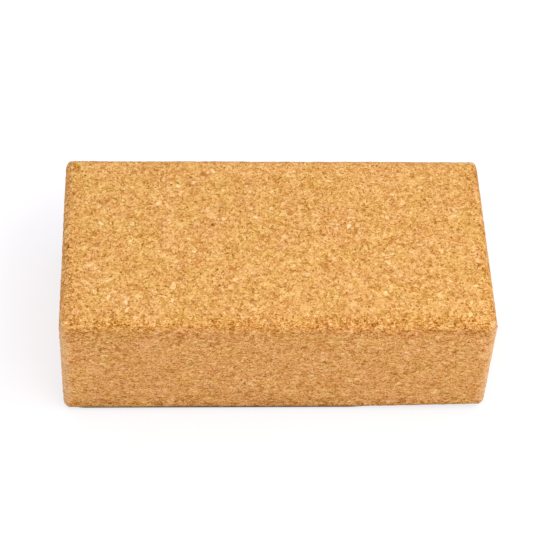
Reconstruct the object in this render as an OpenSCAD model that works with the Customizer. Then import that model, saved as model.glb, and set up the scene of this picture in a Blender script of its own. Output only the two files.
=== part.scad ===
// Yoga block of agglomerated cork: one brick, pressed along its thickness, sawn and rounded over.
// Millimetres, +Z up. The origin is the middle of the underside. The length lies along X.

/* [Block] */
// Length of the block, left to right
block_length = 230; // [180:1:300]
// Width of the block, front to back
block_width = 120; // [90:1:160]
// Thickness of the block, the way in which the cork was pressed
block_thickness = 75; // [50:1:110]
// Radius of the round-over along the top and bottom edges
rim_radius = 6; // [4:0.5:10]
// Radius of the four upright edges
upright_radius = 4; // [2:0.5:8]

/* [Coarse granules] */
// Width of the pale granules
pale_width = 4.2; // [3:0.1:6]
// Width of the amber granules
amber_width = 4.8; // [3:0.1:6]
// Width of the russet granules
russet_width = 5.4; // [3:0.1:6]
// Width of the bark flecks
bark_width = 3.0; // [2:0.1:5]
// Thickness of a granule once the press has laid it flat
granule_thickness = 1.7; // [1:0.1:2.5]
// Distance from one coarse granule to the next across a face
granule_pitch = 15; // [12:1:30]
// Distance from one coarse granule to the next along an edge
edge_pitch = 22; // [16:1:40]
// Thickness of the binder film between a granule and its socket
binder_film = 0.15; // [0.1:0.05:0.3]
// Number that picks one scatter of the granules
scatter_seed = 7; // [1:1:50]

/* [Hidden] */
$fn = 64;

// Kinds of coarse granule, and the order in which they take turns along a face
PALE = 0;
AMBER = 1;
RUSSET = 2;
BARK = 3;
kind_widths = [pale_width, amber_width, russet_width, bark_width];
kind_turns = [PALE, AMBER, BARK, PALE, RUSSET, AMBER, PALE, BARK];
column_step = 3;

// Seeds are kept this far apart from column to column, so that a longer column changes no other
seed_stride = 40;

// A granule's outline has this many corners, each at its own reach and a little off its even place
outline_corners = 7;
least_reach = 0.7;
corner_drift = 0.3;
narrowing = 0.8;

// The saw and the sander leave between these shares of a granule's thickness in a flat face
least_left = 0.5;
most_left = 0.9;

// Solids that are cut flush with the block stand this far out of it first
overcut = 1;

// Room that keeps neighbouring sockets apart, and what is left of the pitch for the scatter
least_gap = 1.2;
widest_granule = max(kind_widths);
face_drift = (granule_pitch - widest_granule - 2 * binder_film - least_gap) / 2;
edge_drift = (edge_pitch - widest_granule - 2 * binder_film - least_gap) / 2;

// Granules in a face keep clear of those that lie in the edges round it
face_margin = max(rim_radius, upright_radius) + widest_granule;
layer_margin = rim_radius + granule_thickness + binder_film;
layer_drift = (granule_pitch - granule_thickness - 2 * binder_film - least_gap) / 2;

// How far in from both faces the middle of a round-over lies
rim_inset = rim_radius * (1 - cos(45));
upright_inset = upright_radius * (1 - cos(45));

// A seeded number from low to high, one for each use that a granule makes of its seed
function chance(seed, use, low, high) = rands(low, high, 1, scatter_seed * 1000 + seed * 10 + use)[0];

function kind_at(column, row) = kind_turns[(column * column_step + row) % len(kind_turns)];

// Even places along a stretch, as many as the pitch lets in, each moved by no more than the drift
function places(stretch, pitch) = max(1, floor(stretch / pitch));

function place(index, count, stretch, drift, seed, use) =
    (index + 0.5) * stretch / count - stretch / 2 + chance(seed, use, -drift, drift);

// A site is one granule: its centre, its lowest height, its thickness, its seed and its kind.
// Granules that lie flat in the top or the underside
function lying_sites(first_seed, on_top) =
    let (reach_x = block_length - 2 * face_margin)
    let (reach_y = block_width - 2 * face_margin)
    let (columns = places(reach_x, granule_pitch))
    let (rows = places(reach_y, granule_pitch))
    [
        for (i = [0 : columns - 1], j = [0 : rows - 1])
            let (seed = first_seed + i * seed_stride + j)
            let (left = granule_thickness * chance(seed, 3, least_left, most_left))
            [
                place(i, columns, reach_x, face_drift, seed, 1),
                place(j, rows, reach_y, face_drift, seed, 2),
                on_top ? block_thickness - left : -overcut,
                left + overcut,
                seed,
                kind_at(i, j)
            ]
    ];

// Granules cut through edge-on: in a long side where along is x, and in an end where it is y
function edge_on_sites(first_seed, along, side) =
    let (reach_u = (along == "x" ? block_length : block_width) - 2 * face_margin)
    let (reach_z = block_thickness - 2 * layer_margin)
    let (face = side * (along == "x" ? block_width : block_length) / 2)
    let (columns = places(reach_u, granule_pitch))
    let (layers = places(reach_z, granule_pitch))
    [
        for (i = [0 : columns - 1], j = [0 : layers - 1])
            let (seed = first_seed + i * seed_stride + j)
            let (u = place(i, columns, reach_u, face_drift, seed, 1))
            let (z = block_thickness / 2 + place(j, layers, reach_z, layer_drift, seed, 2))
            [
                along == "x" ? u : face,
                along == "x" ? face : u,
                z - granule_thickness / 2,
                granule_thickness,
                seed,
                kind_at(i, j)
            ]
    ];

// Granules in the middle of a round-over, where the router cut through them at a slant
function rim_sites(first_seed, along, side, at_top) =
    let (reach_u = (along == "x" ? block_length : block_width) - 2 * face_margin)
    let (face = side * ((along == "x" ? block_width : block_length) / 2 - rim_inset))
    let (count = places(reach_u, edge_pitch))
    let (z = at_top ? block_thickness - rim_inset : rim_inset)
    [
        for (i = [0 : count - 1])
            let (seed = first_seed + i)
            let (u = place(i, count, reach_u, edge_drift, seed, 1))
            [
                along == "x" ? u : face,
                along == "x" ? face : u,
                z - granule_thickness / 2,
                granule_thickness,
                seed,
                kind_at(i, 0)
            ]
    ];

// Granules in the four upright edges
function upright_sites(first_seed, side_x, side_y) =
    let (reach_z = block_thickness - 2 * layer_margin)
    let (count = places(reach_z, edge_pitch))
    [
        for (i = [0 : count - 1])
            let (seed = first_seed + i)
            let (z = block_thickness / 2 + place(i, count, reach_z, layer_drift, seed, 1))
            [
                side_x * (block_length / 2 - upright_inset),
                side_y * (block_width / 2 - upright_inset),
                z - granule_thickness / 2,
                granule_thickness,
                seed,
                kind_at(i, 0)
            ]
    ];

sites = concat(
    lying_sites(1000, true),
    lying_sites(2000, false),
    edge_on_sites(3000, "x", -1),
    edge_on_sites(4000, "x", 1),
    edge_on_sites(5000, "y", -1),
    edge_on_sites(6000, "y", 1),
    [for (side = [-1, 1], level = [0, 1]) each rim_sites(7000 + 100 * side + 30 * level, "x", side, level == 1)],
    [for (side = [-1, 1], level = [0, 1]) each rim_sites(8000 + 100 * side + 30 * level, "y", side, level == 1)],
    [for (side_x = [-1, 1], side_y = [-1, 1]) each upright_sites(9000 + 100 * side_x + 30 * side_y, side_x, side_y)]
);

// An irregular chip outline, grown all round by film
function chip_outline(seed, width, film) =
    let (turn = chance(seed, 4, 0, 360))
    let (reaches = rands(least_reach, 1, outline_corners, scatter_seed * 1000 + seed * 10 + 5))
    let (drifts = rands(-corner_drift, corner_drift, outline_corners, scatter_seed * 1000 + seed * 10 + 6))
    [
        for (k = [0 : outline_corners - 1])
            let (angle = 360 * (k + drifts[k]) / outline_corners)
            let (reach = width / 2 * reaches[k])
            let (x = (reach + film) * cos(angle))
            let (y = (reach * narrowing + film) * sin(angle))
            [x * cos(turn) - y * sin(turn), x * sin(turn) + y * cos(turn)]
    ];

module rounded_rectangle(size_x, size_y, radius) {
    square([size_x - 2 * radius, size_y], center = true);
    square([size_x, size_y - 2 * radius], center = true);
    for (x = [-1, 1], y = [-1, 1])
        translate([x * (size_x / 2 - radius), y * (size_y / 2 - radius)])
            circle(r = radius);
}

// The brick as it leaves the saw and the router: each pair of opposite faces has its own round-over
module rounded_brick() {
    intersection() {
        linear_extrude(block_thickness)
            rounded_rectangle(block_length, block_width, upright_radius);
        translate([0, 0, block_thickness / 2])
            rotate([90, 0, 0])
                linear_extrude(block_width, center = true)
                    rounded_rectangle(block_length, block_thickness, rim_radius);
        translate([0, 0, block_thickness / 2])
            rotate([90, 0, 90])
                linear_extrude(block_length, center = true)
                    rounded_rectangle(block_width, block_thickness, rim_radius);
    }
}

module chip(site, film) {
    translate([site[0], site[1], site[2] - film])
        linear_extrude(site[3] + 2 * film)
            polygon(chip_outline(site[4], kind_widths[site[5]], film));
}

module all_chips(film) {
    for (site = sites)
        chip(site, film);
}

module chips_of_kind(kind) {
    intersection() {
        union() {
            for (site = sites)
                if (site[5] == kind)
                    chip(site, 0);
        }
        rounded_brick();
    }
}

module cork_matrix() {
    color("#E2AA66")
        difference() {
            rounded_brick();
            all_chips(binder_film);
        }
}

module pale_granules() {
    color("#FBDDAE") chips_of_kind(PALE);
}

module amber_granules() {
    color("#EFB262") chips_of_kind(AMBER);
}

module russet_granules() {
    color("#CF9468") chips_of_kind(RUSSET);
}

module bark_flecks() {
    color("#A0683C") chips_of_kind(BARK);
}

module binder() {
    color("#B98A4A")
        intersection() {
            difference() {
                all_chips(binder_film);
                all_chips(0);
            }
            rounded_brick();
        }
}

cork_matrix();
pale_granules();
amber_granules();
russet_granules();
bark_flecks();
binder();
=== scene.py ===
"""A yoga block of agglomerated cork on a white studio floor.

Cork granules of many sizes and colours were glued with polyurethane, pressed along the thickness,
sawn to a brick and rounded over. Everything is in metres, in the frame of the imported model: +Z up,
the origin in the middle of the underside, the length along X.
"""
import math

import bmesh
import bpy
import numpy as np
from mathutils import Matrix, Vector


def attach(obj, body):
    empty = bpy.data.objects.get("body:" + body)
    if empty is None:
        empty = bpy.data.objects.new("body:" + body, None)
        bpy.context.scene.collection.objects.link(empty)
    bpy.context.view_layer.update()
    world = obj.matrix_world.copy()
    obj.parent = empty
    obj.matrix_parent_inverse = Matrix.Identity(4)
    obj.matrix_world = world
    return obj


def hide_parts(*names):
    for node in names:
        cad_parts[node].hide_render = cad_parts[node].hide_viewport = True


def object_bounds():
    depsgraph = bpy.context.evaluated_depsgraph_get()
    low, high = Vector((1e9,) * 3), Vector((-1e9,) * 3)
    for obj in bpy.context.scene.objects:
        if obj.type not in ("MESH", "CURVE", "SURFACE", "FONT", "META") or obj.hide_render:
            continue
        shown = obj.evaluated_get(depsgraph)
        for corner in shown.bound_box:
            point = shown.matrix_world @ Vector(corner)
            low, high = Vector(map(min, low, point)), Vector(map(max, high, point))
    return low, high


bl_info = {
    "name": "Cork yoga block",
    "version": (1, 0, 0),
    "blender": (4, 5, 0),
    "location": "3D Viewport > Sidebar > Cork block",
    "description": "Builds a pressed cork yoga block and the white studio that it lies in",
    "category": "Object",
}

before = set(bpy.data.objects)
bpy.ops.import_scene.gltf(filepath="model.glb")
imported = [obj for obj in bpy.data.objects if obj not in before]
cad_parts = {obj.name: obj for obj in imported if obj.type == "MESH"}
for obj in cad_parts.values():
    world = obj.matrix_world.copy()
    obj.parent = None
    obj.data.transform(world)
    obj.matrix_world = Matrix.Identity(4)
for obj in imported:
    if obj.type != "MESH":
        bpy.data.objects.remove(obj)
CAD_LOW, CAD_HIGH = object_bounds()
CAD_SIZE = CAD_HIGH - CAD_LOW

MM = 0.001
BODY = "root"
MATH = "ShaderNodeMath"
VECTOR_MATH = "ShaderNodeVectorMath"
COARSE_NODES = ("pale_granules", "amber_granules", "russet_granules", "bark_flecks")

# How much flatter the press leaves a granule than it is wide
FLATTENING = 1.6

# Within this distance of a corner the rounded edges run into the rounding of the corner
CORNER_BLEND = 10 * MM

# Points are brought onto the brick by this many halvings. Its slopes are taken over this step, and
# count as no less than this
HALVINGS = 30
SLOPE_STEP = 0.01 * MM
LEAST_SLOPE = 1e-12

# Points shift within the surface by up to this share of the step between them
POINT_SHIFT = 0.25
SHIFT_SEED = 5

# Corners of loose CAD triangles that lie this close are one
MERGE_DISTANCE = 0.001 * MM

# A socket is this much fuller than its granule, and its cutter stands this far out of the brick
SOCKET_ROOM = 0.02 * MM
OVERCUT = 0.5 * MM

# Slow waves that sawing and curing leave, and lumps about as wide as a granule
WAVE_LENGTH = 45 * MM
LUMP_LENGTH = 2.4 * MM

# The underside is worn within this reach of its front right corner, up to this height
CORNER_REACH = 75 * MM
CORNER_HEIGHT = 16 * MM

# The fine cork sinks unevenly in grains of this width, and some of the places for a pit have one
GRAIN_WIDTH = 2.6 * MM
PIT_SPACING = 4.2 * MM
PIT_SHARE = 0.3
SHARP_ANGLE = math.radians(50)

# Middling granules keep this far from the coarse ones, and a scatter tries this many for each place
CLEARANCE = 2.0 * MM
TRIES = 6.0
GRANULE_SIDES = 7
OUTLINE_DRIFT = 0.1

# The rims along the front and the ends, at top and bottom, are darker and browner this far from
# their edge lines, and a distance counts for more across the top and for less down the sides
RIM_DARK_REACH = 12 * MM
ACROSS_TOP = 1.2
DOWN_SIDES = 0.75

# The upright edges carry a painted pale highlight this far from their edge lines, which covers up
# to this share of the colour in the pattern of the dust speckle
UPRIGHT_HIGHLIGHT_REACH = 6 * MM
HIGHLIGHT_COVER = 0.7

# Widths of what shows in a sanded face of cork, and how deep its relief is. A cell of 0.04 mm is
# too fine for the render, so the dust is drawn as coarse as it needs to show
DUST_WIDTH = 0.62 * MM
FINE_WIDTH = 1.0 * MM
BEND_WIDTH = 1.2 * MM
CRUMB_WIDTH = 1.3 * MM
BORDER_WIDTH = 1.7 * MM
GAP_WIDTH = 2.2 * MM
FLAKE_WIDTH = 2.4 * MM
PATCH_WIDTH = 6 * MM
STRIP_WIDTH = 14 * MM
RELIEF_HEIGHT = 0.12 * MM

# The speckle lies about this tone. It is stronger by these shares edge-on and along the front and
# end rims, and the cork there is darker by the last
SPECKLE_MIDDLE = 0.01
EDGE_ON_GAIN = 0.23
RIM_DARK_GAIN = 0.32
RIM_DARK_TONE = -0.03

# Tone and thickness of the binder film drift over this width, the thickness by this much
FILM_DRIFT = 2.5 * MM
FILM_RELIEF = 0.03 * MM
FILM_SEED = 9

# Distances on the floor from where the block touches it. The painted shade of the block fades
# between the first two and the painted contact shadow under its rim between the next. The last two
# lead from the white near the block to the full white of the studio
SHADE_FROM, SHADE_TO = 5 * MM, 20 * MM
DARK_TO, CLEAR_FROM = 3.1 * MM, 4.0 * MM
WHITE_FROM, WHITE_TO = 40 * MM, 120 * MM
NEAR_WHITE, FULL_WHITE = 1.05, 1.2

# Under the worn corner the painted contact shadow ends this much farther in
CORNER_SHIFT = 5 * MM

# The floor reaches this many metres each way, and the sensor is this many millimetres wide
FLOOR_REACH = 20.0
SENSOR_WIDTH = 36


def linear(hex_colour):
    """Turns an sRGB hex colour such as E2AA66 into linear RGBA."""
    channels = [int(hex_colour[i:i + 2], 16) / 255 for i in (0, 2, 4)]
    return [c / 12.92 if c <= 0.04045 else ((c + 0.055) / 1.055) ** 2.4 for c in channels] + [1.0]


def add(tree, kind, inputs=(), **settings):
    """Adds a node with its settings, and sets or links its inputs, given in order or by name."""
    node = tree.nodes.new(kind)
    for name, value in settings.items():
        setattr(node, name, value)
    for key, value in inputs.items() if isinstance(inputs, dict) else enumerate(inputs):
        if isinstance(value, bpy.types.Node):
            value = value.outputs[0]
        if isinstance(value, bpy.types.NodeSocket):
            tree.links.new(value, node.inputs[key])
        else:
            node.inputs[key].default_value = value
    return node


class BlockShape(bpy.types.PropertyGroup):
    """The brick's own shape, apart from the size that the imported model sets"""

    rim_radius: bpy.props.FloatProperty(
        name="Rim radius", description="Round-over along the top and bottom edges",
        default=6 * MM, min=4 * MM, max=10 * MM, subtype="DISTANCE", unit="LENGTH", precision=4)
    upright_radius: bpy.props.FloatProperty(
        name="Upright radius", description="Round-over of the four upright edges",
        default=4 * MM, min=2 * MM, max=8 * MM, subtype="DISTANCE", unit="LENGTH", precision=4)
    corner_radius: bpy.props.FloatProperty(
        name="Corner radius", description="Radius that the sander left on the eight corners",
        default=5 * MM, min=4 * MM, max=10 * MM, subtype="DISTANCE", unit="LENGTH", precision=4)
    surface_step: bpy.props.FloatProperty(
        name="Surface step", description="Distance between points of the modelled surface",
        default=1.2 * MM, min=0.8 * MM, max=4 * MM, subtype="DISTANCE", unit="LENGTH", precision=5)
    waviness: bpy.props.FloatProperty(
        name="Waviness", description="How far sawing and curing leave the faces off true",
        default=0.25 * MM, min=0, max=1 * MM, subtype="DISTANCE", unit="LENGTH", precision=5)
    lumpiness: bpy.props.FloatProperty(
        name="Lumpiness", description="How far granules lie off their plain outlines",
        default=0.3 * MM, min=0, max=0.6 * MM, subtype="DISTANCE", unit="LENGTH", precision=5)
    corner_lift: bpy.props.FloatProperty(
        name="Corner lift",
        description="How far the underside is worn away at the front right corner",
        default=1.9 * MM, min=0, max=3 * MM, subtype="DISTANCE", unit="LENGTH", precision=5)
    recess: bpy.props.FloatProperty(
        name="Recess", description="How far the fine cork lies below the larger granules",
        default=0.06 * MM, min=0, max=0.5 * MM, subtype="DISTANCE", unit="LENGTH", precision=5)
    pit_depth: bpy.props.FloatProperty(
        name="Pit depth", description="Depth of the pits where the sander tore a granule out",
        default=0.35 * MM, min=0, max=1 * MM, subtype="DISTANCE", unit="LENGTH", precision=5)


class GranuleScatter(bpy.types.PropertyGroup):
    """The middling granules that show among the fine ones"""

    width: bpy.props.FloatProperty(
        name="Granule width", description="Widest middling granule",
        default=5 * MM, min=1 * MM, max=6 * MM, subtype="DISTANCE", unit="LENGTH", precision=4)
    thickness: bpy.props.FloatProperty(
        name="Granule thickness", description="Thickness of a granule that the press has laid flat",
        default=1.4 * MM, min=0.5 * MM, max=2 * MM, subtype="DISTANCE", unit="LENGTH", precision=4)
    spacing: bpy.props.FloatProperty(
        name="Granule spacing",
        description="Least distance between two middling granules in a flat face",
        default=5 * MM, min=2 * MM, max=10 * MM, subtype="DISTANCE", unit="LENGTH", precision=4)
    proud: bpy.props.FloatProperty(
        name="Proud", description="How far a middling granule stands out of the brick",
        default=0.03 * MM, min=0, max=0.3 * MM, subtype="DISTANCE", unit="LENGTH", precision=5)
    seed: bpy.props.IntProperty(
        name="Seed", description="Picks one scatter of the granules", default=4, min=0, max=1000)


class CorkColours(bpy.types.PropertyGroup):
    """Six even steps of colour that cork takes, from bark to its palest granules"""

    bark: bpy.props.FloatVectorProperty(
        name="Bark", description="Crumbs of outer bark and the deepest crevices",
        default=linear("7A4410"), size=4, min=0, max=1, subtype="COLOR")
    skin: bpy.props.FloatVectorProperty(
        name="Skin", description="Brown skins between the granules",
        default=linear("A3651C"), size=4, min=0, max=1, subtype="COLOR")
    russet: bpy.props.FloatVectorProperty(
        name="Russet", description="The darker granules",
        default=linear("C8893C"), size=4, min=0, max=1, subtype="COLOR")
    amber: bpy.props.FloatVectorProperty(
        name="Amber", description="The common granules, which set the colour of the block",
        default=linear("E8AE65"), size=4, min=0, max=1, subtype="COLOR")
    pale: bpy.props.FloatVectorProperty(
        name="Pale", description="The lighter granules",
        default=linear("FCCC8C"), size=4, min=0, max=1, subtype="COLOR")
    cream: bpy.props.FloatVectorProperty(
        name="Cream", description="The palest cells that the sander laid open",
        default=linear("FFE5B2"), size=4, min=0, max=1, subtype="COLOR")


class StudioLight(bpy.types.PropertyGroup):
    """The soft white light of the studio"""

    sky: bpy.props.FloatProperty(
        name="Sky", description="Strength of the even light from all round",
        default=0.69, min=0, max=2)
    key: bpy.props.FloatProperty(
        name="Key", description="Power of the softbox above and to the right of the camera",
        default=7.8, min=0, max=200, subtype="POWER", unit="POWER")
    right: bpy.props.FloatProperty(
        name="Right", description="Power of the softbox to the right of the block",
        default=1.6, min=0, max=200, subtype="POWER", unit="POWER")
    left: bpy.props.FloatProperty(
        name="Left", description="Power of the softbox to the left of the block",
        default=3.0, min=0, max=200, subtype="POWER", unit="POWER")
    floor_share: bpy.props.FloatProperty(
        name="Floor share",
        description="Share of the floor's white that comes from the light on it",
        default=0.34, min=0.05, max=1)


class StudioCamera(bpy.types.PropertyGroup):
    """Where the camera stands, as worked out from the outline of the block"""

    distance: bpy.props.FloatProperty(
        name="Distance", description="From the camera to the point that it looks at",
        default=1.1154, min=0.3, max=5, subtype="DISTANCE", unit="LENGTH")
    pitch: bpy.props.FloatProperty(
        name="Pitch", description="How far the camera looks down", default=math.radians(50.0),
        subtype="ANGLE", unit="ROTATION")
    yaw: bpy.props.FloatProperty(
        name="Yaw", description="How far the camera stands to the right of straight in front",
        default=math.radians(-4.635), subtype="ANGLE", unit="ROTATION")
    roll: bpy.props.FloatProperty(
        name="Roll", description="How far the camera is tilted to one side",
        default=math.radians(3.558), subtype="ANGLE", unit="ROTATION")
    aim: bpy.props.FloatVectorProperty(
        name="Aim", description="How far right of and above the block's middle the camera looks",
        default=(0.83 * MM, 4.32 * MM), size=2, subtype="XYZ_LENGTH", unit="LENGTH")
    lens: bpy.props.FloatProperty(
        name="Lens", description="Focal length on a sensor 36 mm wide",
        default=132.02, min=20, max=400, subtype="DISTANCE_CAMERA", unit="CAMERA")


def brick_distance(points, shape):
    """How far points round the brick's middle lie outside it.

    That is by the farthest of its three rounded outlines, and near a corner by a ball as well.
    """
    points, half = np.abs(points), np.array(CAD_SIZE) / 2
    outlines = (
        ([0, 1], shape.upright_radius), ([0, 2], shape.rim_radius), ([1, 2], shape.rim_radius),
        ([0, 1, 2], shape.corner_radius))
    distances = []
    for axes, radius in outlines:
        past = points[:, axes] - (half[axes] - radius)
        outside = np.linalg.norm(np.maximum(past, 0), axis=1)
        distances.append(outside + np.minimum(past.max(axis=1), 0) - radius)
    plain = np.max(distances[:3], axis=0)
    nearness = np.clip(1 - (half - points).max(axis=1) / CORNER_BLEND, 0, 1)
    blend = nearness * nearness * (3 - 2 * nearness)
    return plain + blend * np.maximum(distances[3] - plain, 0)


def outward(points, shape):
    """Unit directions in which points round the brick's middle leave it."""
    slopes = [
        brick_distance(points + SLOPE_STEP * axis, shape)
        - brick_distance(points - SLOPE_STEP * axis, shape)
        for axis in np.eye(3)]
    slopes = np.array(slopes).T
    return slopes / np.maximum(np.linalg.norm(slopes, axis=1, keepdims=True), LEAST_SLOPE)


def brick_mesh(shape):
    """A closed grid of small quads: the points of a box, drawn in where the brick is rounded."""
    size = np.array(CAD_SIZE)
    counts = [max(4, round(s / shape.surface_step)) for s in size]
    index, places, quads = {}, [], []
    for axis in range(3):
        u, v = (axis + 1) % 3, (axis + 2) % 3
        for side in (0, counts[axis]):
            for i in range(counts[u]):
                for j in range(counts[v]):
                    ring = []
                    for du, dv in ((0, 0), (1, 0), (1, 1), (0, 1)):
                        place = [side] * 3
                        place[u], place[v] = i + du, j + dv
                        place = tuple(place)
                        if place not in index:
                            index[place] = len(places)
                            places.append(place)
                        ring.append(index[place])
                    quads.append(ring if side else ring[::-1])
    points = size * (np.array(places) / counts - 0.5)
    core = size / 2 - max(shape.rim_radius, shape.upright_radius, shape.corner_radius)
    inner = np.clip(points, -core, core)
    low, high = np.zeros((len(points), 1)), np.ones((len(points), 1))
    for _ in range(HALVINGS):
        middle = (low + high) / 2
        tried = inner + (points - inner) * middle
        outside = brick_distance(tried, shape)[:, None] > 0
        high = np.where(outside, middle, high)
        low = np.where(outside, low, middle)
    points = inner + (points - inner) * high

    # Points shift a little within the surface, so that no grid shows in the relief
    away = outward(points, shape)
    draws = np.random.default_rng(SHIFT_SEED).uniform(-POINT_SHIFT, POINT_SHIFT, points.shape)
    shift = draws * shape.surface_step
    points += shift - away * (shift * away).sum(axis=1, keepdims=True)
    points[:, 2] += size[2] / 2

    mesh = bpy.data.meshes.new("brick")
    mesh.from_pydata(points.tolist(), [], quads)
    mesh.validate()
    mesh.shade_smooth()
    return mesh


def new_piece(name, mesh):
    """An object in the scene that shows a mesh."""
    piece = bpy.data.objects.new(name, mesh)
    bpy.context.scene.collection.objects.link(piece)
    return piece


def merged_copy(name, nodes):
    """One object with the merged meshes of CAD nodes, which come as loose triangles."""
    joined = bmesh.new()
    for node in nodes:
        joined.from_mesh(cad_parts[node].data)
    bmesh.ops.remove_doubles(joined, verts=joined.verts, dist=MERGE_DISTANCE)
    mesh = bpy.data.meshes.new(name)
    joined.to_mesh(mesh)
    joined.free()
    return new_piece(name, mesh)


def socket_cutter(name, nodes, shape):
    """A copy of CAD nodes that cuts their sockets: a little fuller, and out past the brick."""
    cutter = merged_copy(name, nodes)
    mesh = cutter.data
    points = np.empty((len(mesh.vertices), 3))
    normals = np.empty_like(points)
    mesh.vertices.foreach_get("co", points.ravel())
    mesh.vertices.foreach_get("normal", normals.ravel())
    middle = np.array((CAD_LOW + CAD_HIGH) / 2)
    flush = brick_distance(points - middle, shape) > -SOCKET_ROOM
    away = outward(points - middle, shape)
    points += normals * SOCKET_ROOM
    points[flush] += away[flush] * OVERCUT
    mesh.vertices.foreach_set("co", points.ravel())
    mesh.update()
    return cutter


def make_plain(piece):
    """Makes a piece a plain mesh of what its modifiers leave."""
    graph = bpy.context.evaluated_depsgraph_get()
    mesh = bpy.data.meshes.new_from_object(piece.evaluated_get(graph))
    piece.modifiers.clear()
    piece.data = mesh


def new_tree(name, **sockets):
    """A Geometry Nodes tree, its input node's outputs and its output node.

    Sockets name the kinds of its inputs.
    """
    tree = bpy.data.node_groups.new(name, "GeometryNodeTree")
    tree.interface.new_socket("Geometry", in_out="INPUT", socket_type="NodeSocketGeometry")
    for socket, kind in sockets.items():
        tree.interface.new_socket(socket, in_out="INPUT", socket_type="NodeSocket" + kind)
    tree.interface.new_socket("Geometry", in_out="OUTPUT", socket_type="NodeSocketGeometry")
    return tree, add(tree, "NodeGroupInput").outputs, add(tree, "NodeGroupOutput")


def grow(piece, tree, **values):
    """Runs a tree on a piece with its inputs set, and keeps the plain mesh that comes out."""
    modifier = piece.modifiers.new(tree.name, "NODES")
    modifier.node_group = tree
    for item in tree.interface.items_tree:
        if item.in_out == "INPUT" and item.name in values:
            modifier[item.identifier] = values[item.name]
    make_plain(piece)


def worn_shape_tree():
    """Bends every piece alike: waves of sawing and curing, granule lumps, and the worn corner."""
    tree, given, out = new_tree(
        "worn shape", waviness="Float", wave_length="Float", lumpiness="Float",
        lump_length="Float", corner_lift="Float", corner="Vector", corner_reach="Float",
        corner_height="Float")
    place = add(tree, "GeometryNodeInputPosition")
    height = add(tree, "ShaderNodeSeparateXYZ", [place]).outputs["Z"]
    waves = None
    for swing, length in (("waviness", "wave_length"), ("lumpiness", "lump_length")):
        scaled = add(tree, VECTOR_MATH, [place, given[length]], operation="DIVIDE")
        noise = add(tree, "ShaderNodeTexNoise", {"Vector": scaled, "Scale": 1.0, "Detail": 1.0})
        noise = add(tree, VECTOR_MATH, [noise.outputs["Color"], (0.5, 0.5, 0.5)],
                    operation="SUBTRACT")
        both_ways = add(tree, MATH, [given[swing], 2.0], operation="MULTIPLY")
        noise = add(tree, VECTOR_MATH, {0: noise, "Scale": both_ways}, operation="SCALE")
        waves = add(tree, VECTOR_MATH, [waves, noise], operation="ADD") if waves else noise

    # The underside stays on the floor, and the waves set in above it
    above = add(tree, "ShaderNodeMapRange", {
        "Value": height, "From Min": 0.0, "From Max": given["corner_height"],
        "To Min": 0.0, "To Max": 1.0}, interpolation_type="SMOOTHSTEP")
    share = add(tree, "ShaderNodeCombineXYZ", [1.0, 1.0, above])
    waves = add(tree, VECTOR_MATH, [waves, share], operation="MULTIPLY")

    away = add(tree, VECTOR_MATH, [place, given["corner"]], operation="DISTANCE").outputs["Value"]
    near = add(tree, "ShaderNodeMapRange", {
        "Value": away, "From Min": 0.0, "From Max": given["corner_reach"],
        "To Min": 1.0, "To Max": 0.0}, interpolation_type="SMOOTHSTEP")
    below = add(tree, MATH, [1.0, above], operation="SUBTRACT")
    lift = add(tree, MATH, [near, below], operation="MULTIPLY")
    lift = add(tree, MATH, [lift, given["corner_lift"]], operation="MULTIPLY")
    upward = add(tree, "ShaderNodeCombineXYZ", [0.0, 0.0, lift])
    offset = add(tree, VECTOR_MATH, [waves, upward], operation="ADD")
    moved = add(tree, "GeometryNodeSetPosition", {"Geometry": given["Geometry"], "Offset": offset})
    tree.links.new(moved.outputs[0], out.inputs[0])
    return tree


def wear(piece, shape):
    """Gives a piece the worn shape that all pieces share."""
    grow(
        piece, bpy.data.node_groups.get("worn shape") or worn_shape_tree(),
        waviness=shape.waviness, wave_length=WAVE_LENGTH, lumpiness=shape.lumpiness,
        lump_length=LUMP_LENGTH, corner_lift=shape.corner_lift,
        corner=(CAD_HIGH.x, CAD_LOW.y, CAD_LOW.z), corner_reach=CORNER_REACH,
        corner_height=CORNER_HEIGHT)


def torn_surface_tree():
    """Sinks the fine cork between the larger granules, and tears pits where granules came out."""
    tree, given, out = new_tree(
        "torn surface", recess="Float", grain_width="Float", pit_depth="Float",
        pit_spacing="Float", pit_share="Float", flattening="Float")
    place = add(tree, "GeometryNodeInputPosition")
    squash = add(tree, "ShaderNodeCombineXYZ", [1.0, 1.0, given["flattening"]])
    pressed = add(tree, VECTOR_MATH, [place, squash], operation="MULTIPLY")
    scaled = add(tree, VECTOR_MATH, [pressed, given["grain_width"]], operation="DIVIDE")
    grain = add(tree, "ShaderNodeTexNoise", {
        "Vector": scaled, "Scale": 1.0, "Detail": 2.0, "Roughness": 0.6})
    uneven = add(tree, "ShaderNodeMapRange", {
        "Value": grain, "From Min": 0.3, "From Max": 0.7, "To Min": 1.8, "To Max": 0.2})
    sunk = add(tree, MATH, [uneven, given["recess"]], operation="MULTIPLY")

    cells = add(tree, VECTOR_MATH, [pressed, given["pit_spacing"]], operation="DIVIDE")
    cell = add(tree, "ShaderNodeTexVoronoi", {"Vector": cells, "Scale": 1.0})
    draw = add(tree, "FunctionNodeSeparateColor", [cell.outputs["Color"]])
    torn = add(tree, MATH, [draw, given["pit_share"]], operation="LESS_THAN")
    bowl = add(tree, "ShaderNodeMapRange", {
        "Value": cell.outputs["Distance"], "From Min": 0.08, "From Max": 0.4,
        "To Min": 1.0, "To Max": 0.0}, interpolation_type="SMOOTHSTEP")
    pit = add(tree, MATH, [torn, bowl], operation="MULTIPLY")
    depth = add(tree, MATH, [pit, given["pit_depth"], sunk], operation="MULTIPLY_ADD")
    inward = add(tree, MATH, [depth, -1.0], operation="MULTIPLY")
    normal = add(tree, "GeometryNodeInputNormal")
    offset = add(tree, VECTOR_MATH, {0: normal, "Scale": inward}, operation="SCALE")
    moved = add(tree, "GeometryNodeSetPosition", {"Geometry": given["Geometry"], "Offset": offset})
    tree.links.new(moved.outputs[0], out.inputs[0])
    return tree


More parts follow.
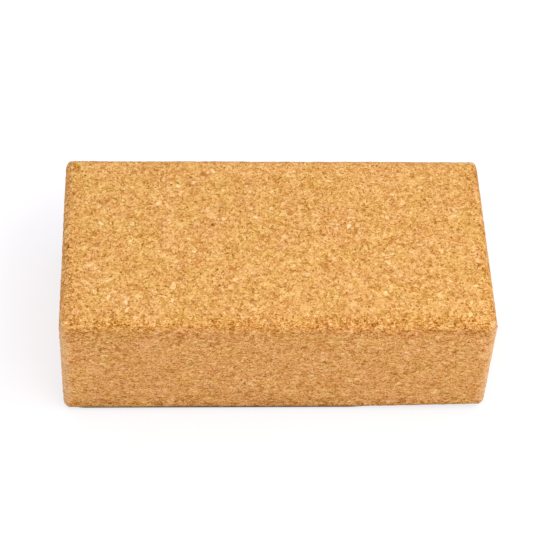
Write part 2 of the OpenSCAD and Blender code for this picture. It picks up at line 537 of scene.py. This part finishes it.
def middling_granules_tree():
    """Scatters granules over the brick, flat in the press plane and cut flush with its surface."""
    tree, given, out = new_tree(
        "middling granules", coarse="Object", spacing="Float", width="Float", thickness="Float",
        flattening="Float", clearance="Float", share_from="Float", share_to="Float",
        proud="Float", seed="Int", material="Material")
    brick = given["Geometry"]

    # The brick is stretched while points are laid out, so they come closer along the thickness
    stretch = add(tree, "ShaderNodeCombineXYZ", [1.0, 1.0, given["flattening"]])
    stretched = add(tree, "GeometryNodeTransform", {"Geometry": brick, "Scale": stretch})
    area = add(tree, MATH, [given["spacing"], given["spacing"]], operation="MULTIPLY")
    density = add(tree, MATH, [TRIES, area], operation="DIVIDE")
    points = add(tree, "GeometryNodeDistributePointsOnFaces", {
        "Mesh": stretched, "Distance Min": given["spacing"], "Density Max": density,
        "Seed": given["seed"]}, distribute_method="POISSON")
    back = add(tree, VECTOR_MATH, [(1.0, 1.0, 1.0), stretch], operation="DIVIDE")
    points = add(tree, "GeometryNodeTransform", {"Geometry": points, "Scale": back})

    # A granule keeps clear of the coarse ones, and each kind has its own share of the points
    coarse = add(tree, "GeometryNodeObjectInfo", [given["coarse"]]).outputs["Geometry"]
    distance = add(tree, "GeometryNodeProximity", {"Geometry": coarse}).outputs["Distance"]
    close = add(tree, MATH, [distance, given["clearance"]], operation="LESS_THAN")
    lot = add(tree, "FunctionNodeRandomValue", {"Seed": 1}, data_type="FLOAT").outputs[1]
    before = add(tree, MATH, [lot, given["share_from"]], operation="LESS_THAN")
    after = add(tree, MATH, [lot, given["share_to"]], operation="GREATER_THAN")
    dropped = add(tree, MATH, [before, after], operation="MAXIMUM")
    dropped = add(tree, MATH, [dropped, close], operation="MAXIMUM")
    points = add(tree, "GeometryNodeDeleteGeometry", {"Geometry": points, "Selection": dropped},
                 domain="POINT")

    # Each lies within about 11 degrees of the press plane, with its own share of the full size
    granule = add(tree, "GeometryNodeMeshCylinder", {
        "Vertices": GRANULE_SIDES, "Side Segments": 1, "Radius": 0.5, "Depth": 1.0},
        fill_type="NGON")
    turn = add(tree, "FunctionNodeRandomValue", {
        0: (-0.2, -0.2, 0.0), 1: (0.2, 0.2, 6.28), "Seed": 2}, data_type="FLOAT_VECTOR")
    share = add(tree, "FunctionNodeRandomValue", {
        0: (0.35, 0.25, 0.6), 1: (0.95, 0.6, 1.0), "Seed": 3}, data_type="FLOAT_VECTOR")
    full = add(tree, "ShaderNodeCombineXYZ", [given["width"], given["width"], given["thickness"]])
    size = add(tree, VECTOR_MATH, [share, full], operation="MULTIPLY")
    scattered = add(tree, "GeometryNodeInstanceOnPoints", {
        "Points": points, "Instance": granule, "Rotation": turn, "Scale": size})
    tone = add(tree, "FunctionNodeRandomValue", {"Seed": 4}, data_type="FLOAT").outputs[1]
    toned = add(tree, "GeometryNodeStoreNamedAttribute", {
        "Geometry": scattered, "Name": "tone", "Value": tone},
        data_type="FLOAT", domain="INSTANCE")
    granules = add(tree, "GeometryNodeRealizeInstances", [toned])

    # No two granules have the same outline
    drift = add(tree, MATH, [given["width"], OUTLINE_DRIFT], operation="MULTIPLY")
    lump = add(tree, "FunctionNodeRandomValue", {
        0: (-1.0, -1.0, -0.4), 1: (1.0, 1.0, 0.4), "Seed": 5}, data_type="FLOAT_VECTOR")
    lump = add(tree, VECTOR_MATH, {0: lump, "Scale": drift}, operation="SCALE")
    granules = add(tree, "GeometryNodeSetPosition", {"Geometry": granules, "Offset": lump})

    # What stands out of the brick is sawn off
    place = add(tree, "GeometryNodeInputPosition")
    nearest = add(tree, "GeometryNodeProximity", {"Geometry": brick}).outputs["Position"]
    normal = add(tree, "GeometryNodeInputNormal")
    normal = add(tree, "GeometryNodeSampleNearestSurface", {"Mesh": brick, "Value": normal},
                 data_type="FLOAT_VECTOR")
    gap = add(tree, VECTOR_MATH, [place, nearest], operation="SUBTRACT")
    height = add(tree, VECTOR_MATH, [gap, normal], operation="DOT_PRODUCT").outputs["Value"]
    stands_out = add(tree, MATH, [height, given["proud"]], operation="GREATER_THAN")
    rise = add(tree, VECTOR_MATH, {0: normal, "Scale": given["proud"]}, operation="SCALE")
    flush = add(tree, VECTOR_MATH, [nearest, rise], operation="ADD")
    granules = add(tree, "GeometryNodeSetPosition", {
        "Geometry": granules, "Selection": stands_out, "Position": flush})
    dressed = add(tree, "GeometryNodeSetMaterial", {
        "Geometry": granules, "Material": given["material"]})
    tree.links.new(dressed.outputs[0], out.inputs[0])
    return tree


def toned_granules_tree():
    """Gives each granule a tone of its own, and points between its corners that can move."""
    tree, given, out = new_tree("toned granules", seed="Int")
    finer = add(tree, "GeometryNodeSubdivideMesh", {"Mesh": given["Geometry"], "Level": 1})
    island = add(tree, "GeometryNodeInputMeshIsland").outputs["Island Index"]
    tone = add(tree, "FunctionNodeRandomValue", {"ID": island, "Seed": given["seed"]},
               data_type="FLOAT").outputs[1]
    toned = add(tree, "GeometryNodeStoreNamedAttribute", {
        "Geometry": finer, "Name": "tone", "Value": tone}, data_type="FLOAT", domain="POINT")
    tree.links.new(toned.outputs[0], out.inputs[0])
    return tree


def new_material(name):
    """An empty material and its tree."""
    material = bpy.data.materials.new(name)
    material.use_nodes = True
    material.node_tree.nodes.clear()
    return material, material.node_tree


def rim_and_upright_masks(tree, place, patches):
    """Two masks: the front and end rims, made darker and browner, and the upright edges, given a
    painted pale highlight.
    """
    middle, half = (CAD_LOW + CAD_HIGH) / 2, CAD_SIZE / 2
    inside = add(tree, VECTOR_MATH, [place, middle], operation="SUBTRACT")
    inside = add(tree, VECTOR_MATH, [inside], operation="ABSOLUTE")
    inside = add(tree, VECTOR_MATH, [half, inside], operation="SUBTRACT")
    depth = add(tree, "ShaderNodeSeparateXYZ", [inside]).outputs
    forward = add(tree, "ShaderNodeSeparateXYZ", [place]).outputs["Y"]
    behind_front = add(tree, MATH, [forward, CAD_LOW.y], operation="SUBTRACT")
    across = add(tree, MATH, [depth["X"], behind_front], operation="MINIMUM")
    across = add(tree, MATH, [across, ACROSS_TOP], operation="MULTIPLY")
    down = add(tree, MATH, [depth["Z"], DOWN_SIDES], operation="MULTIPLY")
    from_rim = add(tree, MATH, [across, down], operation="MAXIMUM")
    from_upright = add(tree, MATH, [depth["X"], depth["Y"]], operation="MAXIMUM")
    uneven = add(tree, MATH, [patches, 0.5], operation="SUBTRACT")
    masks = []
    for distance, reach in ((from_rim, RIM_DARK_REACH), (from_upright, UPRIGHT_HIGHLIGHT_REACH)):
        distance = add(tree, MATH, [uneven, reach, distance], operation="MULTIPLY_ADD")
        masks.append(add(tree, "ShaderNodeMapRange", {
            "Value": distance, "From Min": reach / 6, "From Max": reach,
            "To Min": 1.0, "To Max": 0.0}, interpolation_type="SMOOTHSTEP"))
    return masks


def cork(name, base, spread, grain, tint):
    """Cork, sawn and sanded across: matt, with a fine speckle of light cells and painted crevice
    shade.

    The base is where the kind of cork lies between bark and cream, and the spread how much its
    granules differ. The grain is the share of the speckle that it shows.
    """
    material, tree = new_material(name)
    given = add(tree, "ShaderNodeTexCoord").outputs
    pressed = add(tree, VECTOR_MATH, [given["Object"], (1.0, 1.0, FLATTENING)],
                  operation="MULTIPLY")

    # Granule borders wander by about a third of a granule
    bend = add(tree, "ShaderNodeTexNoise", {
        "Vector": pressed, "Scale": 1 / BEND_WIDTH, "Detail": 2.0, "Roughness": 0.6})
    bend = add(tree, VECTOR_MATH, [bend.outputs["Color"], (0.5, 0.5, 0.5)], operation="SUBTRACT")
    bend = add(tree, VECTOR_MATH, {0: bend, "Scale": BEND_WIDTH}, operation="SCALE")
    wandering = add(tree, VECTOR_MATH, [pressed, bend], operation="ADD")
    fine = add(tree, "ShaderNodeTexVoronoi", {"Vector": wandering, "Scale": 1 / FINE_WIDTH})
    flakes = add(tree, "ShaderNodeTexVoronoi", {"Vector": wandering, "Scale": 1 / FLAKE_WIDTH})
    patches = add(tree, "ShaderNodeTexNoise", {
        "Vector": pressed, "Scale": 1 / PATCH_WIDTH, "Detail": 2.0})
    dust = add(tree, "ShaderNodeTexNoise", {
        "Vector": pressed, "Scale": 1 / DUST_WIDTH, "Detail": 1.0})
    border = add(tree, "ShaderNodeTexVoronoi", {"Vector": wandering, "Scale": 1 / BORDER_WIDTH},
                 feature="DISTANCE_TO_EDGE")
    fine_draw = add(tree, "ShaderNodeSeparateColor", [fine.outputs["Color"]])
    flake_draw = add(tree, "ShaderNodeSeparateColor", [flakes.outputs["Color"]])

    # Crumbs of bark, and painted shade of crevices here and there along the borders
    crumbs = add(tree, "ShaderNodeTexNoise", {
        "Vector": pressed, "Scale": 1 / CRUMB_WIDTH, "Detail": 1.0, "Roughness": 0.6})
    crumbs = add(tree, "ShaderNodeMapRange", {
        "Value": crumbs, "From Min": 0.63, "From Max": 0.7, "To Min": 0.0, "To Max": 1.0})
    crevices = add(tree, "ShaderNodeMapRange", {
        "Value": border, "From Min": 0.04, "From Max": 0.13, "To Min": 1.0, "To Max": 0.0})
    gaps = add(tree, "ShaderNodeTexNoise", {
        "Vector": wandering, "Scale": 1 / GAP_WIDTH, "Detail": 0.0})
    gaps = add(tree, "ShaderNodeMapRange", {
        "Value": gaps.outputs["Color"], "From Min": 0.5, "From Max": 0.62,
        "To Min": 0.0, "To Max": 1.0})
    crevices = add(tree, MATH, [crevices, gaps], operation="MULTIPLY")

    # Granules seen edge-on show more of their brown skins than those that lie flat
    upward = add(tree, "ShaderNodeSeparateXYZ", [given["Normal"]]).outputs["Z"]
    upward = add(tree, MATH, [upward], operation="ABSOLUTE")
    edge_on = add(tree, "ShaderNodeMapRange", {
        "Value": upward, "From Min": 0.2, "From Max": 0.9, "To Min": 1.0, "To Max": 0.0})
    rim_darkened, sanded_and_painted_highlight = rim_and_upright_masks(tree, given["Object"], patches)

    # The speckle adds up the sizes of granule about their mean, less the crumbs and the painted
    # crevice shade
    added = ((fine_draw, 0.3), (flake_draw, 0.14), (patches, 0.17), (dust, 0.82))
    speckle = SPECKLE_MIDDLE - sum(weight / 2 for _, weight in added)
    for signal, weight in (*added, (crumbs, -0.34), (crevices, -0.2)):
        speckle = add(tree, MATH, [signal, weight, speckle], operation="MULTIPLY_ADD")
    # The speckle is stronger edge-on and along the front and end rims, where the tone is also darker
    strength = add(tree, MATH, [edge_on, EDGE_ON_GAIN, 1.0], operation="MULTIPLY_ADD")
    strength = add(tree, MATH, [rim_darkened, RIM_DARK_GAIN, strength], operation="MULTIPLY_ADD")
    strength = add(tree, MATH, [strength, grain], operation="MULTIPLY")
    tone = add(tree, "ShaderNodeAttribute", attribute_name="tone").outputs["Fac"]
    tone = add(tree, MATH, [tone, spread, base], operation="MULTIPLY_ADD")
    tone = add(tree, MATH, [rim_darkened, RIM_DARK_TONE, tone], operation="MULTIPLY_ADD")
    tone = add(tree, MATH, [speckle, strength, tone], operation="MULTIPLY_ADD")
    ramp = add(tree, "ShaderNodeValToRGB", [tone])
    hues = bpy.context.scene.cork_colours
    steps = (hues.bark, hues.skin, hues.russet, hues.amber, hues.pale, hues.cream)
    while len(ramp.color_ramp.elements) < len(steps):
        ramp.color_ramp.elements.new(0.5)
    for number, (element, colour) in enumerate(zip(ramp.color_ramp.elements, steps)):
        element.position = number / (len(steps) - 1)
        element.color = colour

    # Patches of granules from one strip of bark lean to yellow or to pink
    strip = add(tree, "ShaderNodeTexNoise", {
        "Vector": wandering, "Scale": 1 / STRIP_WIDTH, "Detail": 2.0, "Roughness": 0.7})
    strip = add(tree, "ShaderNodeMapRange", {
        "Value": strip, "From Min": 0.35, "From Max": 0.65, "To Min": 0.0, "To Max": 1.0})
    lean = add(tree, "ShaderNodeMix", {0: strip, 6: linear("FDFFF1"), 7: linear("FFFBFF")},
               data_type="RGBA").outputs[2]
    skins = add(tree, "ShaderNodeMix", {0: edge_on, 6: linear("FFFFFA"), 7: linear("FFF7F2")},
                data_type="RGBA").outputs[2]
    colour = ramp.outputs[0]
    # The last glaze makes the front and end rims browner
    glazes = ((1.0, lean), (1.0, linear(tint)), (1.0, skins), (rim_darkened, linear("FBF6EB")))
    for share, glaze in glazes:
        colour = add(tree, "ShaderNodeMix", {0: share, 6: colour, 7: glaze}, data_type="RGBA",
                     blend_type="MULTIPLY").outputs[2]
    # A painted pale highlight along the upright edges, patchy with the dust speckle
    highlight_amount = add(tree, MATH, [sanded_and_painted_highlight, dust], operation="MULTIPLY")
    highlight_amount = add(tree, MATH, [highlight_amount, HIGHLIGHT_COVER], operation="MULTIPLY")
    colour = add(tree, "ShaderNodeMix", {0: highlight_amount, 6: colour, 7: linear("FFD9AE")},
                 data_type="RGBA").outputs[2]

    # Each fine granule stands at its own height, lower at its border, and the crumbs lie deeper
    level = add(tree, MATH, [fine_draw.outputs[1], 0.5], operation="MULTIPLY")
    level = add(tree, MATH, [level, fine.outputs["Distance"]], operation="SUBTRACT")
    level = add(tree, MATH, [level, crumbs], operation="SUBTRACT")
    relief = add(tree, "ShaderNodeBump", {
        "Strength": 0.6 * grain, "Distance": RELIEF_HEIGHT, "Height": level})
    shader = add(tree, "ShaderNodeBsdfPrincipled", {
        "Base Color": colour, "Roughness": 0.9, "IOR": 1.45, "Specular IOR Level": 0.15,
        "Normal": relief, "Sheen Weight": 0.08, "Sheen Roughness": 0.5,
        "Sheen Tint": linear("FFF4EA")})
    add(tree, "ShaderNodeOutputMaterial", [shader])
    return material


def cured_binder():
    """Polyurethane film, cured in the press: a satin brown line round each coarse granule."""
    material, tree = new_material("polyurethane_binder_cured")
    place = add(tree, "ShaderNodeTexCoord").outputs["Object"]
    drift = add(tree, "ShaderNodeTexNoise", {
        "Vector": place, "Scale": 1 / FILM_DRIFT, "Detail": 2.0})
    colour = add(tree, "ShaderNodeMix", {0: drift, 6: linear("C08C48"), 7: linear("DAA862")},
                 data_type="RGBA").outputs[2]
    relief = add(tree, "ShaderNodeBump", {
        "Strength": 0.3, "Distance": FILM_RELIEF, "Height": drift})
    shader = add(tree, "ShaderNodeBsdfPrincipled", {
        "Base Color": colour, "Roughness": 0.6, "IOR": 1.5, "Specular IOR Level": 0.3,
        "Normal": relief})
    add(tree, "ShaderNodeOutputMaterial", [shader])
    return material


def in_place(piece, material, slot, *nodes):
    """Dresses a finished piece, lets it ride on the block and hides the nodes it stands for."""
    piece.data.materials.clear()
    piece.data.materials.append(material)
    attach(piece, BODY)
    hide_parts(*nodes)


class BuildFineCork(bpy.types.Operator):
    """Build the fine cork mass, with its pits and a socket for each coarse granule"""

    bl_idname = "cork_block.build_fine_cork"
    bl_label = "Fine cork"

    def execute(self, context):
        shape = context.scene.cork_shape
        piece = new_piece("fine_cork", brick_mesh(shape))
        cutters = [
            socket_cutter("granule_cutter", COARSE_NODES, shape),
            socket_cutter("film_cutter", ["binder"], shape)]
        for cutter in cutters:
            cut = piece.modifiers.new(cutter.name, "BOOLEAN")
            cut.operation = "DIFFERENCE"
            cut.solver = "MANIFOLD"
            cut.object = cutter
        make_plain(piece)
        for cutter in cutters:
            bpy.data.objects.remove(cutter)
        grow(piece, torn_surface_tree(), recess=shape.recess, grain_width=GRAIN_WIDTH,
             pit_depth=shape.pit_depth, pit_spacing=PIT_SPACING, pit_share=PIT_SHARE,
             flattening=FLATTENING)
        wear(piece, shape)
        piece.data.set_sharp_from_angle(angle=SHARP_ANGLE)
        material = cork("agglomerated_cork_sanded", base=0.6, spread=0.0, grain=1.0, tint="FFFFFF")
        in_place(piece, material, "fine_cork", "cork_matrix")
        return {"FINISHED"}


class BuildMiddlingGranules(bpy.types.Operator):
    """Build the middling granules that show among the fine ones, in three kinds"""

    bl_idname = "cork_block.build_middling_granules"
    bl_label = "Middling granules"

    def execute(self, context):
        shape, scatter = context.scene.cork_shape, context.scene.cork_scatter
        tree = middling_granules_tree()
        coarse = merged_copy("coarse_granules", COARSE_NODES)
        kinds = (
            ("cream_granules", 0.0, 0.18, 0.7, 0.2, "FFFCFA", "pale_cork"),
            ("honey_granules", 0.18, 0.74, 0.55, 0.12, "FFFDF6", "amber_cork"),
            ("brown_granules", 0.74, 1.0, 0.44, 0.14, "FFF7FC", "russet_cork"))
        for name, share_from, share_to, base, spread, tint, slot in kinds:
            piece = new_piece(name, brick_mesh(shape))
            material = cork(name + "_sanded", base, spread, grain=0.6, tint=tint)
            grow(piece, tree, coarse=coarse, spacing=scatter.spacing, width=scatter.width,
                 thickness=scatter.thickness, flattening=FLATTENING, clearance=CLEARANCE,
                 share_from=share_from, share_to=share_to, proud=scatter.proud,
                 seed=scatter.seed, material=material)
            wear(piece, shape)
            in_place(piece, material, slot, "cork_matrix")
        bpy.data.objects.remove(coarse)
        return {"FINISHED"}


class BuildCoarseGranules(bpy.types.Operator):
    """Build the coarse granules in their sockets: pale, amber, russet, and flecks of bark"""

    bl_idname = "cork_block.build_coarse_granules"
    bl_label = "Coarse granules"

    def execute(self, context):
        tree = bpy.data.node_groups.get("toned granules") or toned_granules_tree()
        kinds = (
            ("pale_granules", "pale_cork", 0.66, 0.16, "FFFFFF"),
            ("amber_granules", "amber_cork", 0.54, 0.14, "FFFBEE"),
            ("russet_granules", "russet_cork", 0.5, 0.12, "FFF6FF"),
            ("bark_flecks", "bark", 0.32, 0.2, "FFF8F0"))
        for seed, (node, slot, base, spread, tint) in enumerate(kinds):
            piece = merged_copy(slot, [node])
            grow(piece, tree, seed=seed)
            wear(piece, context.scene.cork_shape)
            material = cork(slot + "_sanded", base, spread, grain=0.85, tint=tint)
            in_place(piece, material, slot, node)
        return {"FINISHED"}


class BuildBinder(bpy.types.Operator):
    """Build the binder film that lines the socket of each coarse granule"""

    bl_idname = "cork_block.build_binder"
    bl_label = "Binder"

    def execute(self, context):
        piece = merged_copy("binder_film", ["binder"])
        tree = bpy.data.node_groups.get("toned granules") or toned_granules_tree()
        grow(piece, tree, seed=FILM_SEED)
        wear(piece, context.scene.cork_shape)
        in_place(piece, cured_binder(), "polyurethane_binder", "binder")
        return {"FINISHED"}


def shown_rays(tree):
    """A mask of the rays that show a thing, straight, in a mirror or through glass."""
    path = add(tree, "ShaderNodeLightPath").outputs
    shown = add(tree, MATH, [path["Is Camera Ray"], path["Is Glossy Ray"]], operation="ADD")
    return add(tree, MATH, [shown, path["Is Transmission Ray"]], operation="ADD", use_clamp=True)


def white_floor(share, rim_radius, corner_radius):
    """A white studio sheet: plain white in full light, with soft shadows round the block.

    Next to the block the colour with which it throws light back is painted dark, a painted shade,
    and under the rim of the underside it is painted dark for the camera, a painted contact shadow.
    """
    material, tree = new_material("white_studio_sheet")
    place = add(tree, "ShaderNodeTexCoord").outputs["Object"]

    # The distance from the rounded rectangle on which the block stands
    inset = rim_radius + corner_radius
    contact = (CAD_SIZE.x / 2 - inset, CAD_SIZE.y / 2 - inset, 0.0)
    past = add(tree, VECTOR_MATH, [place], operation="ABSOLUTE")
    past = add(tree, VECTOR_MATH, [past, contact], operation="SUBTRACT")
    past = add(tree, VECTOR_MATH, [past, (0.0, 0.0, 0.0)], operation="MAXIMUM")
    distance = add(tree, VECTOR_MATH, [past], operation="LENGTH").outputs["Value"]
    distance = add(tree, MATH, [distance, corner_radius], operation="SUBTRACT")
    shade = add(tree, "ShaderNodeMapRange", {
        "Value": distance, "From Min": SHADE_FROM, "From Max": SHADE_TO,
        "To Min": 0.0, "To Max": 1.0})
    # Near the block the colour that throws light back is painted dark: a painted shade of the block
    bounce_with_painted_shade = add(tree, "ShaderNodeMix", {0: shade, 6: linear("303030"), 7: linear("E0E0E0")},
                 data_type="RGBA").outputs[2]
    matt = add(tree, "ShaderNodeBsdfDiffuse", {"Color": bounce_with_painted_shade})

    # Under the worn corner the painted contact shadow ends farther in
    corner = (CAD_HIGH.x, CAD_LOW.y, 0.0)
    away = add(tree, VECTOR_MATH, [place, corner], operation="DISTANCE").outputs["Value"]
    lifted = add(tree, "ShaderNodeMapRange", {
        "Value": away, "From Min": CORNER_REACH / 2, "From Max": CORNER_REACH,
        "To Min": 1.0, "To Max": 0.0}, interpolation_type="SMOOTHSTEP")
    open_air = add(tree, MATH, [lifted, CORNER_SHIFT, distance], operation="MULTIPLY_ADD")
    # Under the rim the floor is painted dark brown and its white glow is cut: a painted contact
    # shadow
    clear = add(tree, "ShaderNodeMapRange", {
        "Value": open_air, "From Min": DARK_TO, "From Max": CLEAR_FROM,
        "To Min": 0.0, "To Max": 1.0}, interpolation_type="SMOOTHSTEP")
    caught = add(tree, "ShaderNodeMix", {
        0: clear, 6: linear("402818"), 7: (share, share, share, 1.0)}, data_type="RGBA").outputs[2]
    shaded = add(tree, "ShaderNodeBsdfDiffuse", {"Color": caught})
    strength = add(tree, "ShaderNodeMapRange", {
        "Value": distance, "From Min": WHITE_FROM, "From Max": WHITE_TO,
        "To Min": NEAR_WHITE - share, "To Max": FULL_WHITE - share})
    strength = add(tree, MATH, [clear, strength], operation="MULTIPLY")
    glow = add(tree, "ShaderNodeEmission", {"Color": linear("FDFCFF"), "Strength": strength})
    white = add(tree, "ShaderNodeAddShader", [shaded, glow])
    shader = add(tree, "ShaderNodeMixShader", [shown_rays(tree), matt, white])
    add(tree, "ShaderNodeOutputMaterial", [shader])
    return material


def softbox(name, place, size, power, hue):
    """A square lamp that faces the block."""
    lamp = bpy.data.lights.new(name, "AREA")
    lamp.shape = "SQUARE"
    lamp.size = size
    lamp.energy = power
    lamp.color = linear(hue)[:3]
    box = bpy.data.objects.new(name, lamp)
    bpy.context.scene.collection.objects.link(box)
    box.location = place
    towards = (CAD_LOW + CAD_HIGH) / 2 - Vector(place)
    box.rotation_euler = towards.to_track_quat("-Z", "Y").to_euler()


class BuildStudio(bpy.types.Operator):
    """Build the white floor, the soft light and the camera"""

    bl_idname = "cork_block.build_studio"
    bl_label = "Studio"

    def execute(self, context):
        scene, shape = context.scene, context.scene.cork_shape
        light, view = scene.studio_light, scene.studio_camera

        floor = bmesh.new()
        bmesh.ops.create_grid(floor, x_segments=1, y_segments=1, size=FLOOR_REACH)
        mesh = bpy.data.meshes.new("studio_floor")
        floor.to_mesh(mesh)
        floor.free()
        mesh.materials.append(
            white_floor(light.floor_share, shape.rim_radius, shape.corner_radius))
        new_piece("studio_floor", mesh)

        world = bpy.data.worlds.new("white_studio")
        world.use_nodes = True
        tree = world.node_tree
        tree.nodes.clear()
        strength = add(tree, "ShaderNodeMix", {0: shown_rays(tree), 2: light.sky, 3: 1.0})
        sky = add(tree, "ShaderNodeBackground", {"Color": linear("F7F9FF"), "Strength": strength})
        add(tree, "ShaderNodeOutputWorld", [sky])
        scene.world = world

        softbox("key_softbox", (0.5, -0.5, 1.0), 1.0, light.key, "FFF8EE")
        softbox("right_softbox", (1.5, -0.2, 0.5), 0.8, light.right, "FFFFFF")
        softbox("left_softbox", (-1.5, -0.2, 0.5), 0.8, light.left, "FFFFFF")

        back = Vector((
            math.sin(view.yaw) * math.cos(view.pitch), -math.cos(view.yaw) * math.cos(view.pitch),
            math.sin(view.pitch)))
        right = Vector((0, 0, 1)).cross(back).normalized()
        up = back.cross(right)
        rolled_right = math.cos(view.roll) * right + math.sin(view.roll) * up
        rolled_up = math.cos(view.roll) * up - math.sin(view.roll) * right
        middle = (CAD_LOW + CAD_HIGH) / 2
        target = middle + view.aim[0] * rolled_right + view.aim[1] * rolled_up
        lens = bpy.data.cameras.new("photo_camera")
        lens.lens = view.lens
        lens.sensor_width = SENSOR_WIDTH
        lens.sensor_fit = "HORIZONTAL"
        camera = bpy.data.objects.new("photo_camera", lens)
        scene.collection.objects.link(camera)
        turn = Matrix((rolled_right, rolled_up, back)).transposed().to_4x4()
        camera.matrix_world = Matrix.Translation(target + back * view.distance) @ turn
        scene.camera = camera
        scene.view_settings.view_transform = "Standard"
        return {"FINISHED"}


STEPS = (BuildStudio, BuildFineCork, BuildMiddlingGranules, BuildCoarseGranules, BuildBinder)
GROUPS = {
    "cork_shape": BlockShape, "cork_scatter": GranuleScatter, "cork_colours": CorkColours,
    "studio_light": StudioLight, "studio_camera": StudioCamera}


class CorkBlockPanel(bpy.types.Panel):
    """Lists the settings of the cork block and its studio, and the steps that build them"""

    bl_idname = "VIEW3D_PT_cork_block"
    bl_label = "Cork block"
    bl_space_type = "VIEW_3D"
    bl_region_type = "UI"
    bl_category = "Cork block"

    def draw(self, context):
        column = self.layout.column()
        for name, group in GROUPS.items():
            for setting in group.__annotations__:
                column.prop(getattr(context.scene, name), setting)
        for step in STEPS:
            column.operator(step.bl_idname)


def register():
    for name, group in GROUPS.items():
        bpy.utils.register_class(group)
        setattr(bpy.types.Scene, name, bpy.props.PointerProperty(type=group))
    for step in STEPS:
        bpy.utils.register_class(step)
    bpy.utils.register_class(CorkBlockPanel)


def unregister():
    bpy.utils.unregister_class(CorkBlockPanel)
    for step in reversed(STEPS):
        bpy.utils.unregister_class(step)
    for name, group in GROUPS.items():
        delattr(bpy.types.Scene, name)
        bpy.utils.unregister_class(group)


def main():
    register()
    for step in STEPS:
        group, name = step.bl_idname.split(".")
        getattr(getattr(bpy.ops, group), name)()


if __name__ == "__main__":
    main()
